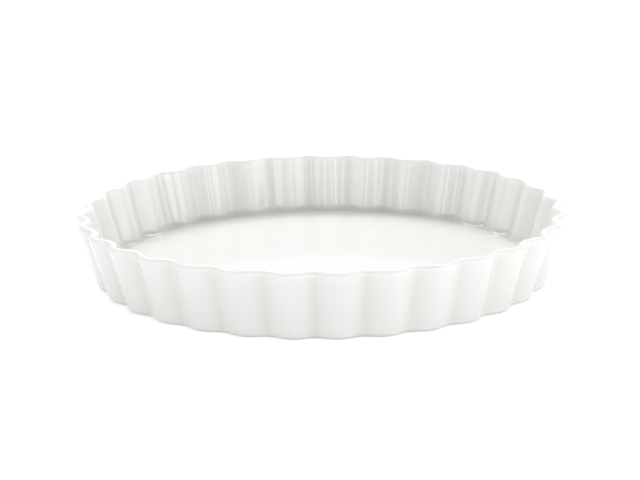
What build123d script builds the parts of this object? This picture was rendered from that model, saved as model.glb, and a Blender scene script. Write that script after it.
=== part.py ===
from build123d import *
import math
import os

# Round quiche dish with a fluted, outward leaning wall, fired as one piece of glazed porcelain.
# Millimetres, +Z up. The origin is on the dish's axis, level with the foot ring it stands on.

# Driving dimensions
rim_diameter = 280
base_diameter = 259
dish_height = 38.5
flute_count = 32
rim_flute_depth = 4.2
base_flute_depth = 3.6
wall_thickness = 4.8
floor_thickness = 3.6
foot_height = 0.8
foot_ring_width = 5
recess_edge_run = 1.2
heel_radius = 3.5
floor_fillet_radius = 6

# Share of the flutes' depth that is left where the wall meets the floor and the foot
floor_depth_share = 0.3
foot_depth_share = 0.85

# Points along each flute, how far they crowd to its crest and hollow, and bands in each round
points_per_flute = 10
crowding_share = 0.5
heel_bands = 2
half_rim_bands = 2
floor_bands = 3

# Derived dimensions of the outer face, along its middle between flute crests and hollows
rim_radius = (rim_diameter - rim_flute_depth) / 2
base_radius = (base_diameter - base_flute_depth) / 2
wall_spread = (rim_radius - base_radius) / (dish_height - wall_thickness / 2)
lean = math.atan(wall_spread)
floor_level = foot_height + floor_thickness


def ring(level, thickness, inset=0, depth_share=1.0):
    """Closed fluted outline at a level, a thickness behind the outer face, moved in by inset."""
    depth = base_flute_depth + (rim_flute_depth - base_flute_depth) * level / dish_height
    swing = depth * depth_share / 2
    # An even wave along the middle of the wall, so both faces have broad rounds and narrow hollows
    middle_radius = base_radius + wall_spread * level - wall_thickness / 2
    points = []
    for step in range(flute_count * points_per_flute):
        phase = 2 * math.pi * step / points_per_flute
        phase -= crowding_share * math.sin(2 * phase) / 2
        turn = phase / flute_count
        radius = middle_radius + swing * math.cos(phase)
        slope = -swing * flute_count * math.sin(phase) / radius
        behind = (thickness - wall_thickness / 2) / math.hypot(1, slope)
        out = radius - behind - inset
        along = slope * behind
        points.append((
            out * math.cos(turn) - along * math.sin(turn),
            out * math.sin(turn) + along * math.cos(turn),
            level,
        ))
    return Wire(Polyline(*points, close=True))


def corner_rings(bottom, radius, thickness, bottom_depth_share, bands):
    """Rings that round one face of the wall into the flat below it, from the flat up."""
    tangent_level = bottom + radius * (1 - math.sin(lean))
    rings = []
    for step in range(bands + 1):
        share = step / bands
        angle = (math.pi / 2 - lean) * share - math.pi / 2
        level = bottom + radius * (1 + math.sin(angle))
        below_tangent = tangent_level - level
        inset = radius * (math.cos(lean) - math.cos(angle)) - wall_spread * below_tangent
        depth_share = bottom_depth_share + (1 - bottom_depth_share) * share
        rings.append(ring(level, thickness, inset, depth_share))
    return rings


def rim_ring(angle):
    """Ring of the half round rim, at an angle about the rim's own centre, out and up from level."""
    radius = wall_thickness * math.cos(lean) / 2
    rise = radius * math.sin(angle)
    behind = wall_thickness / 2 - radius * math.cos(angle) + wall_spread * rise
    return ring(dish_height - radius + rise, behind)


# Rounds at the heel, over the rim and at the floor
heel = corner_rings(0, heel_radius, 0, foot_depth_share, heel_bands)
floor_fillet = corner_rings(
    floor_level, floor_fillet_radius, wall_thickness, floor_depth_share, floor_bands
)
outer_sweep = math.pi / 2 + lean
inner_sweep = math.pi / 2 - lean
shares = [step / half_rim_bands for step in range(half_rim_bands + 1)]
outer_rim = [rim_ring(outer_sweep * share - lean) for share in shares]
inner_rim = [rim_ring(math.pi / 2 + inner_sweep * share) for share in shares]

# The dish without its recess, from the foot up the outside, over the rim and down to the floor
body = Solid.make_loft(heel + outer_rim + inner_rim[1:] + floor_fillet[::-1], ruled=True)

# Recess under the floor, which leaves a narrow foot ring along the heel
heel_inset = heel_radius * math.cos(lean)
foot_radius = base_radius - base_flute_depth * foot_depth_share / 2 - heel_inset
recess_radius = foot_radius - foot_ring_width
recess = Cone(
    bottom_radius=recess_radius,
    top_radius=recess_radius - recess_edge_run,
    height=foot_height,
    align=(Align.CENTER, Align.CENTER, Align.MIN),
)

fluted_dish = body - recess
fluted_dish.label = "fluted_dish"

os.makedirs("parts", exist_ok=True)
export_step(fluted_dish, "parts/fluted_dish.step")
print("fluted_dish", fluted_dish.is_valid, round(fluted_dish.volume), fluted_dish.bounding_box())
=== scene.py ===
import math

import bpy
import numpy as np
from mathutils import Matrix, Vector


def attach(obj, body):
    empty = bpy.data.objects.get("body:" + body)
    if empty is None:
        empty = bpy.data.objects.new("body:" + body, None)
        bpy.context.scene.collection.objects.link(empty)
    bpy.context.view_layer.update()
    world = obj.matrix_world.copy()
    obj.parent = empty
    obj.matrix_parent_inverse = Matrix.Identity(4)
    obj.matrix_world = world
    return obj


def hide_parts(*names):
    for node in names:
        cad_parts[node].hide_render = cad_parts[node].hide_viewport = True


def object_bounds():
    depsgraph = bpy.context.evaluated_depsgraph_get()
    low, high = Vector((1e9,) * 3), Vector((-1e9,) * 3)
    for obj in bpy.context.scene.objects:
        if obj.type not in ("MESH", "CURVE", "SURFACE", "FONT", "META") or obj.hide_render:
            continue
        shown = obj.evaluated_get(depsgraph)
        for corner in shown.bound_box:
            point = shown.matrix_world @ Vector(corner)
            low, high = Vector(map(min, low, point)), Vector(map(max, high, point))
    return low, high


# Fluted quiche dish in white glazed porcelain, on a plain white table under soft studio light.
# Metres, +Z up. The origin is on the dish's axis, at the level it stands on.

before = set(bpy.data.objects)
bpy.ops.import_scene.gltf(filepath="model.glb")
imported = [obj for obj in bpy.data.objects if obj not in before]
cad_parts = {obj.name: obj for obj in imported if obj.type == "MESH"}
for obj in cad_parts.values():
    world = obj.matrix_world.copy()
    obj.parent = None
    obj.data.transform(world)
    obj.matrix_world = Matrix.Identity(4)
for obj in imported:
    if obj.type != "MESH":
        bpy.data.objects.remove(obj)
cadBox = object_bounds()
print("frame loaded:", sorted(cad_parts))


class Value:
    # One number that varies over a surface. In a sum it adds Math nodes, and a plain number
    # may stand on either side of the sign.
    def __init__(self, graph, socket):
        self.graph = graph
        self.socket = socket

    def math(self, operation, *terms):
        return self.graph.add("ShaderNodeMath", {"operation": operation}, dict(enumerate(terms)))

    def __add__(self, other):
        return self.math("ADD", self, other)

    def __sub__(self, other):
        return self.math("SUBTRACT", self, other)

    def __rsub__(self, other):
        return self.math("SUBTRACT", other, self)

    def __mul__(self, other):
        return self.math("MULTIPLY", self, other)

    __radd__ = __add__
    __rmul__ = __mul__

    # The larger of this and another number
    def atLeast(self, other):
        return self.math("MAXIMUM", self, other)

    # 0 up to low, 1 from high on, eased between them
    def between(self, low, high):
        limits = {0: self, 1: low, 2: high}
        return self.graph.add("ShaderNodeMapRange", {"interpolation_type": "SMOOTHSTEP"}, limits)


class Graph:
    # The nodes of one material, or of the world.
    def __init__(self, owner):
        owner.use_nodes = True
        self.tree = owner.node_tree
        self.tree.nodes.clear()

    # One node of that kind: its settings first, then the values or links of its sockets
    def add(self, kind, settings=None, inputs=None, output=0):
        node = self.tree.nodes.new(kind)
        for name, setting in (settings or {}).items():
            setattr(node, name, setting)
        for name, given in (inputs or {}).items():
            if isinstance(given, Value):
                self.tree.links.new(given.socket, node.inputs[name])
            else:
                node.inputs[name].default_value = given
        return Value(self, node.outputs[output]) if node.outputs else node

    def attribute(self, name):
        return self.add("ShaderNodeAttribute", {"attribute_name": name}, output="Fac")

    # Cloudy numbers about a half, with features one over scale metres across
    def noise(self, scale, detail):
        where = self.add("ShaderNodeTexCoord", output="Object")
        sockets = {"Vector": where, "Scale": scale, "Detail": detail}
        return self.add("ShaderNodeTexNoise", inputs=sockets)

    # From the first colour at factor 0 to the second at 1. The node has sockets of one name for
    # numbers, vectors and colours, so they are called by their places.
    def mix(self, factor, first, second):
        sockets = {0: factor, 6: first, 7: second}
        return self.add("ShaderNodeMix", {"data_type": "RGBA"}, sockets, output=2)


# The dish

dish = {
    "fluteCount": 32,
    "rimDiameter": 0.28,
    "baseDiameter": 0.259,
    "rimFluteDepth": 0.0042,
    "baseFluteDepth": 0.0036,
    "wallThickness": 0.0048,
    "floorThickness": 0.0036,
    "footHeight": 0.0008,
    "footRingWidth": 0.005,
    "recessEdgeRun": 0.0012,
    "heelRadius": 0.0035,
    "floorFilletRadius": 0.006,
    "floorDepthShare": 0.3,  # share of the flutes' depth left where the wall meets the floor
    "footDepthShare": 0.85,  # and where it meets the foot
    # how far firing has drawn the wall out of true, in slow waves round the dish: the share of
    # each, its waves in one turn and its phase
    "warp": 0.00015,
    "outWaves": ((1, 2, 0.6), (0.6, 3, 2.1), (0.4, 5, 4.2)),
    "riseWaves": ((1, 3, 1.0),),
    "depthWaves": ((0.03, 7, 1.1), (0.02, 11, 4.0)),  # their shares are of the flutes' depth
    "bareLevels": (0.0002, 0.0006),  # the foot is bare up to the first, glazed from the second
    "thinReach": 0.0036,  # how far down the rim the glaze has drawn thin
    # how thick the glaze has pooled and how dark the painted shade is, in the hollows, and in the
    # round at the floor by height
    "poolShadeInHollows": 0.3,
    "poolShadeHeights": (0, 0.0001, 0.0005, 0.0012, 0.0025, 0.0038, 0.0050),
    "poolShadeAmounts": (0, 0.5, 0.9, 1, 0.75, 0.25, 0),
    # the mesh: columns in a flute, rows in each stretch of the profile, and the radius of the
    # small ring round each end of it
    "columnsPerFlute": 32,
    "rowCounts": {
        "recess": 3,
        "recessEdge": 9,
        "foot": 3,
        "heel": 12,
        "wall": 8,
        "rim": 19,
        "fillet": 14,
        "floor": 5,
    },
    "lastRingRadius": 0.004,
}

height = cadBox[1].z
floorLevel = dish["footHeight"] + dish["floorThickness"]
rimMiddle = (dish["rimDiameter"] - dish["rimFluteDepth"]) / 2
baseMiddle = (dish["baseDiameter"] - dish["baseFluteDepth"]) / 2
wallSpread = (rimMiddle - baseMiddle) / (height - dish["wallThickness"] / 2)
lean = math.atan(wallSpread)

# The dish is drawn from rows of four numbers: level, distance behind the outer face, further
# inset towards the axis, and share of the flutes' depth.


# Count rows from one row to another in even steps, without the last.
def rowsBetween(first, last, count):
    steps = np.linspace(0, 1, count, endpoint=False)[:, None]
    return (1 - steps) * first + steps * last


# A row without flutes: the inset is what the middle of the outer face stands out beyond radius.
def plainRow(level, radius):
    return np.array([level, 0, baseMiddle + wallSpread * level - radius, 0])


# The round between the wall and the flat below it, from the flat up: a circle's arc that turns
# from level to the wall's lean, while the flutes grow from lowShare to their full depth.
def cornerRows(bottom, radius, behind, lowShare, count):
    share = np.linspace(0, 1, count)
    angle = (math.pi / 2 - lean) * share - math.pi / 2
    level = bottom + radius * (1 + np.sin(angle))
    belowTangent = bottom + radius * (1 - math.sin(lean)) - level
    inset = radius * (math.cos(lean) - np.cos(angle)) - wallSpread * belowTangent
    return np.stack([level, np.full(count, behind), inset, lowShare + (1 - lowShare) * share], 1)


# The half round rim: a half circle from the outer face over to the inner face, square to both.
def rimRows(count):
    angle = np.linspace(-lean, math.pi - lean, count)
    radius = dish["wallThickness"] * math.cos(lean) / 2
    rise = radius * np.sin(angle)
    behind = dish["wallThickness"] / 2 - radius * np.cos(angle) + wallSpread * rise
    return np.stack([height - radius + rise, behind, np.zeros(count), np.ones(count)], 1)


# The recess's edge: it falls from the recess's ceiling to the foot in a soft S, three times the
# square less twice the cube of the way across.
def recessRows(outerRadius, count):
    share = np.linspace(0, 1, count)
    radius = outerRadius - dish["recessEdgeRun"] * (1 - share)
    level = dish["footHeight"] * (1 - share * share * (3 - 2 * share))
    inset = baseMiddle + wallSpread * level - radius
    plain = np.zeros(count)
    return np.stack([level, plain, inset, plain], 1)


# The whole profile, from the middle of the recess out, up, over the rim and in to the middle
# of the floor.
def profileRows():
    counts = dish["rowCounts"]
    heelRadius, footShare = dish["heelRadius"], dish["footDepthShare"]
    heel = cornerRows(0, heelRadius, 0, footShare, counts["heel"])
    rim = rimRows(counts["rim"])
    filletRadius, floorShare = dish["floorFilletRadius"], dish["floorDepthShare"]
    fillet = cornerRows(
        floorLevel, filletRadius, dish["wallThickness"], floorShare, counts["fillet"]
    )[::-1]
    footRadius = baseMiddle - dish["baseFluteDepth"] * footShare / 2 - heelRadius * math.cos(lean)
    recess = recessRows(footRadius - dish["footRingWidth"], counts["recessEdge"])
    recessMiddle = plainRow(dish["footHeight"], dish["lastRingRadius"])
    floorMiddle = plainRow(floorLevel, dish["lastRingRadius"])
    return np.concatenate([
        rowsBetween(recessMiddle, recess[0], counts["recess"]),
        recess,
        rowsBetween(recess[-1], heel[0], counts["foot"])[1:],
        heel,
        rowsBetween(heel[-1], rim[0], counts["wall"])[1:],
        rim,
        rowsBetween(rim[-1], fillet[0], counts["wall"])[1:],
        fillet,
        rowsBetween(fillet[-1], floorMiddle, counts["floor"])[1:],
        [floorMiddle],
    ])


# Slow waves round the dish added up: each is its share times the sine of its count times the
# turn plus its phase.
def waves(turn, parts):
    return sum(share * np.sin(count * turn + phase) for share, count, phase in parts)


# The dish's skin: at each turn the middle of the wall stands at its mean radius plus half the
# flutes' depth times the cosine of the turn times the flute count. The outer face is half the
# wall's thickness outside that wave, and a point lies the row's distance behind that face, both
# square to the wave in plan, then the row's inset nearer the axis. The slow waves draw it out in
# proportion to its level, and down in proportion to the level's square.
def skinPoints(rows, turn):
    level, behind, inset, share = rows.T[:, :, None]
    deepening = (dish["rimFluteDepth"] - dish["baseFluteDepth"]) * level / height
    depth = dish["baseFluteDepth"] + deepening
    swing = depth * share * (1 + waves(turn, dish["depthWaves"])) / 2
    flutes = dish["fluteCount"] * turn
    radius = baseMiddle + wallSpread * level - dish["wallThickness"] / 2 + swing * np.cos(flutes)
    slope = -swing * dish["fluteCount"] * np.sin(flutes) / radius
    back = (behind - dish["wallThickness"] / 2) / np.hypot(1, slope)
    along = slope * back
    drawn = dish["warp"] * level / height
    out = radius - back - inset + drawn * waves(turn, dish["outWaves"])
    lift = drawn * level / height * (waves(turn, dish["riseWaves"]) - 1)
    x = out * np.cos(turn) - along * np.sin(turn)
    y = out * np.sin(turn) + along * np.cos(turn)
    return np.stack([x, y, level + lift], 2)


# Each mask below has one number for each row and column, and adding 0 times the turn spreads a
# row's number over its columns.


# How thick the glaze has pooled, 0 to 1, which also paints the shade in the hollows and in the
# round at the floor. In the hollows between the ridges it is poolShadeInHollows times the share
# of the flutes' depth times the cube of a half plus half the cosine of the flutes, which is taken
# negative on the outer face, where the hollows are half a flute further on. In the round at the
# floor it follows poolShadeAmounts by height, and there it is mostly painted shade. The larger of
# the two counts.
def poolAndShade(rows, turn):
    level, behind, _, share = rows.T[:, :, None]
    inside = behind / dish["wallThickness"]
    wave = np.cos(dish["fluteCount"] * turn)
    hollow = share * ((1 - inside) * (0.5 - 0.5 * wave) ** 3 + inside * (0.5 + 0.5 * wave) ** 3)
    # in the round at the floor this is mostly painted shade
    atFloor = inside * np.interp(level - floorLevel, dish["poolShadeHeights"], dish["poolShadeAmounts"])
    return np.maximum(hollow * dish["poolShadeInHollows"], atFloor)


# Where glaze has drawn thin: 1 on top of the rim, falling evenly to 0 at thinReach below it.
def thinGlaze(rows, turn):
    level = rows.T[0][:, None]
    return np.clip(1 - (height - level) / dish["thinReach"], 0, 1) + 0 * turn


# Where the foot is bare: 1 up to the first of bareLevels, falling evenly to 0 at the second.
def bareFoot(rows, turn):
    level = rows.T[0][:, None]
    return np.interp(level, dish["bareLevels"], (1, 0)) + 0 * turn


# One closed mesh, facing outwards: four neighbours of two rows and two columns make a face, and
# the first and last rows close in triangles on a point in the middle of each.
def closedSkin(name, points, masks):
    rowCount, columnCount = points.shape[:2]
    first, last = points[0].mean(0), points[-1].mean(0)
    vertices = np.concatenate([points.reshape(-1, 3), [first, last]])
    here = np.arange(rowCount * columnCount).reshape(rowCount, columnCount)
    beside = np.roll(here, -1, 1)
    bands = np.stack([here[:-1], beside[:-1], beside[1:], here[1:]], 2).reshape(-1, 4)
    ends = rowCount * columnCount + np.array([0, 1])[:, None] + 0 * here[0]
    lower = np.stack([ends[0], beside[0], here[0]], 1)
    upper = np.stack([here[-1], beside[-1], ends[1]], 1)
    mesh = bpy.data.meshes.new(name)
    mesh.from_pydata(vertices, [], bands.tolist() + lower.tolist() + upper.tolist())
    mesh.polygons.foreach_set("use_smooth", np.ones(len(mesh.polygons), bool))
    for mask, amounts in masks.items():
        layer = mesh.attributes.new(mask, "FLOAT", "POINT")
        layer.data.foreach_set("value", np.append(amounts, amounts[[0, -1], 0]))
    piece = bpy.data.objects.new(name, mesh)
    bpy.context.collection.objects.link(piece)
    return piece


def makeDish():
    rows = profileRows()
    columns = dish["fluteCount"] * dish["columnsPerFlute"]
    turn = np.linspace(0, 2 * math.pi, columns, endpoint=False)[None, :]
    masks = {
        "poolAndShade": poolAndShade(rows, turn),
        "thinGlaze": thinGlaze(rows, turn),
        "bareFoot": bareFoot(rows, turn),
    }
    return closedSkin("glazed_fluted_dish", skinPoints(rows, turn), masks)


# The glaze: a white gloss over a white body. It is a shade darker and yellower where it has
# pooled, and the same colour paints shade in the hollows and in the round at the floor. It is
# whiter where it is thin, and wiped off the foot, where the matt body shows.

glaze = {
    "plain": (0.865, 0.866, 0.849, 1),
    # painted shade: this darker colour also stands for the shade in the hollows and in the round
    # at the floor
    "pooledAndShade": (0.61, 0.615, 0.56, 1),
    "thin": (0.92, 0.92, 0.905, 1),
    "bareBody": (0.72, 0.695, 0.64, 1),
    "footGrime": (0.42, 0.40, 0.37, 1),
    "roughness": 0.07,
    "roughnessDrift": 0.05,
    "bareRoughness": 0.72,
    "refraction": 1.5,
    # noises: features in a metre, and layers of detail
    "clouds": (38, 4),
    "grains": (900, 3),
    "wipedEdge": (260, 3),
    "swells": (26, 1),
    "ripples": (620, 2),
    # how high these stand, in metres
    "swellHeight": 0.000035,
    "rippleHeight": 0.0000025,
    "grainHeight": 0.00002,
    # the least of each mask's colour, and how much more the clouds bring
    "poolShadeLeast": 0.55,
    "poolShadeMore": 0.5,
    "thinLeast": 0.4,
    "thinMore": 1,
    # how far the wiped edge wanders on its mask, and the amounts between which the glaze ends
    "edgeWander": 0.5,
    "bareBetween": (0.35, 0.6),
    # what the grains count for beside the clouds, and the sums between which grime sets in
    "grimeGrains": 0.7,
    "grimeBetween": (0.85, 1.25),
}


def glazeMaterial():
    material = bpy.data.materials.new("glazed porcelain")
    graph = Graph(material)
    cloud = graph.noise(*glaze["clouds"])
    grain = graph.noise(*glaze["grains"])
    wander = glaze["edgeWander"] * (graph.noise(*glaze["wipedEdge"]) - 0.5)
    # the pooled glaze, which also paints shade in the hollows and in the round at the floor
    pooledAndShade = graph.attribute("poolAndShade") * (glaze["poolShadeLeast"] + glaze["poolShadeMore"] * cloud)
    thin = graph.attribute("thinGlaze") * (glaze["thinLeast"] + glaze["thinMore"] * cloud)
    bare = (graph.attribute("bareFoot") + wander).between(*glaze["bareBetween"])
    grime = (glaze["grimeGrains"] * grain + cloud).between(*glaze["grimeBetween"])
    colour = graph.mix(pooledAndShade, glaze["plain"], glaze["pooledAndShade"])
    colour = graph.mix(thin, colour, glaze["thin"])
    colour = graph.mix(bare, colour, graph.mix(grime, glaze["bareBody"], glaze["footGrime"]))
    shine = glaze["roughness"] + glaze["roughnessDrift"] * (cloud - 0.5)
    roughness = shine + bare * (glaze["bareRoughness"] - glaze["roughness"])
    swells = glaze["swellHeight"] * graph.noise(*glaze["swells"])
    ripples = glaze["rippleHeight"] * graph.noise(*glaze["ripples"]) * (1 - bare)
    relief = swells + ripples + glaze["grainHeight"] * grain * bare
    bump = {"Height": relief, "Distance": 1.0, "Strength": 1.0}
    sockets = {
        "Base Color": colour,
        "Roughness": roughness,
        "Normal": graph.add("ShaderNodeBump", inputs=bump),
        "IOR": glaze["refraction"],
    }
    surface = graph.add("ShaderNodeBsdfPrincipled", inputs=sockets)
    graph.add("ShaderNodeOutputMaterial", inputs={"Surface": surface})
    return material


piece = makeDish()
piece.data.materials.append(glazeMaterial())
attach(piece, "root")
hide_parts("fluted_dish")
print("dish made:", len(piece.data.vertices), "points")


# The table: white where it is lit, a little grey where the dish shades it.

table = {
    "width": 8.0,
    "tone": (0.89, 0.89, 0.89, 1),
    "glow": 0.40,  # seen by the camera and in reflections only, so it puts no light on the dish
}


# 1 for a ray from the camera, off a gloss or through glass, and 0 for any other: the largest of
# the three.
def seenRays(graph):
    light = "ShaderNodeLightPath"
    camera = graph.add(light, output="Is Camera Ray")
    glossy = graph.add(light, output="Is Glossy Ray")
    clear = graph.add(light, output="Is Transmission Ray")
    return camera.atLeast(glossy).atLeast(clear)


# A flat square of that width about the origin. Its surface is matt white plus the glow.
def makeTable():
    half = table["width"] / 2
    corners = [(-half, -half, 0), (half, -half, 0), (half, half, 0), (-half, half, 0)]
    mesh = bpy.data.meshes.new("white_table")
    mesh.from_pydata(corners, [], [(0, 1, 2, 3)])
    material = bpy.data.materials.new("white table")
    graph = Graph(material)
    matt = graph.add("ShaderNodeBsdfDiffuse", inputs={"Color": table["tone"]})
    strength = seenRays(graph) * table["glow"]
    glow = graph.add("ShaderNodeEmission", inputs={"Strength": strength})
    surface = graph.add("ShaderNodeAddShader", inputs={0: matt, 1: glow})
    graph.add("ShaderNodeOutputMaterial", inputs={"Surface": surface})
    mesh.materials.append(material)
    plane = bpy.data.objects.new("white_table", mesh)
    bpy.context.collection.objects.link(plane)


makeTable()
print("table made")


# The studio: softboxes behind, at both sides and low in front, with narrow strips for the
# highlights, in a pale room that is white to the camera.

studio = {
    "roomFill": 0.46,
    "hiddenInGloss": ("behind",),  # so broad that its reflection would whiten the whole floor
    "softboxes": {
        # azimuth from straight in front, elevation, distance, width, height, brightness
        "behind": (180, 50.7, 1.42, 1.3, 0.8, 2.95),
        "stripBehind": (180, 50.7, 1.41, 1.3, 0.26, 6.0),
        "left": (-72, 20, 1.3, 0.8, 0.7, 1.6),
        "right": (72, 20, 1.3, 0.9, 0.7, 2.0),
        "lowInFront": (8, 4.5, 0.8, 2.0, 0.12, 2.6),
        "stripLeft": (-33, 17, 1.3, 0.2, 0.32, 2.5),
        "stripMiddle": (15, 17, 1.3, 0.15, 0.32, 2.2),
        "stripRight": (34, 17, 1.3, 0.18, 0.32, 2.8),
    },
}


# A point as far from the origin as distance, in the direction of its azimuth and elevation.
def standing(azimuth, elevation, distance):
    azimuth, elevation = math.radians(azimuth), math.radians(elevation)
    level = math.cos(elevation)
    across, along = math.sin(azimuth) * level, -math.cos(azimuth) * level
    return distance * Vector((across, along, math.sin(elevation)))


# A rectangular lamp that faces the dish: its power is brightness times area times pi.
def softbox(name, place, width, height, brightness):
    lamp = bpy.data.lights.new(name, "AREA")
    lamp.shape = "RECTANGLE"
    lamp.size, lamp.size_y = width, height
    lamp.energy = brightness * width * height * math.pi
    holder = bpy.data.objects.new(name, lamp)
    holder.location = place
    holder.rotation_euler = (-place).to_track_quat("-Z", "Y").to_euler()
    holder.visible_glossy = name not in studio["hiddenInGloss"]
    bpy.context.collection.objects.link(holder)


# The room's strength is roomFill, plus what it lacks of 1 for seen rays.
def makeStudio():
    world = bpy.data.worlds.new("pale room")
    graph = Graph(world)
    strength = studio["roomFill"] + (1 - studio["roomFill"]) * seenRays(graph)
    white = {"Color": (1, 1, 1, 1), "Strength": strength}
    room = graph.add("ShaderNodeBackground", inputs=white)
    graph.add("ShaderNodeOutputWorld", inputs={"Surface": room})
    bpy.context.scene.world = world
    for name, (azimuth, elevation, distance, *lamp) in studio["softboxes"].items():
        softbox(name, standing(azimuth, elevation, distance), *lamp)


makeStudio()
print("studio lit")


# The camera: a long lens, low in front and a little to the left, raised in its own view so
# that the dish sits where the photograph has it.

camera = {
    "distance": 1.0947,
    "elevation": 15.17,  # degrees, as the azimuth and the roll
    "azimuth": -3.61,
    "roll": -0.72,
    "lens": 106.48,  # millimetres, as the sensor's width
    "sensor": 36.0,
    "rise": 0.01781,
    "slide": -0.00133,
}


# It stands at that distance from the origin on the line of its azimuth and elevation, looks
# back along that line, and is then moved up and sideways in its own view, without turning.
def makeCamera():
    back = standing(camera["azimuth"], camera["elevation"], 1)
    right = Vector((0, 0, 1)).cross(back).normalized()
    up = back.cross(right)
    lens = bpy.data.cameras.new("camera")
    lens.lens = camera["lens"]
    lens.sensor_width = camera["sensor"]
    roll = Matrix.Rotation(math.radians(camera["roll"]), 3, "Z")
    turned = Matrix((right, up, back)).transposed() @ roll
    place = back * camera["distance"] + up * camera["rise"] + right * camera["slide"]
    eye = bpy.data.objects.new("camera", lens)
    eye.matrix_world = Matrix.Translation(place) @ turned.to_4x4()
    bpy.context.collection.objects.link(eye)
    bpy.context.scene.camera = eye


makeCamera()
bpy.context.scene.view_settings.view_transform = "Standard"
print("camera set")
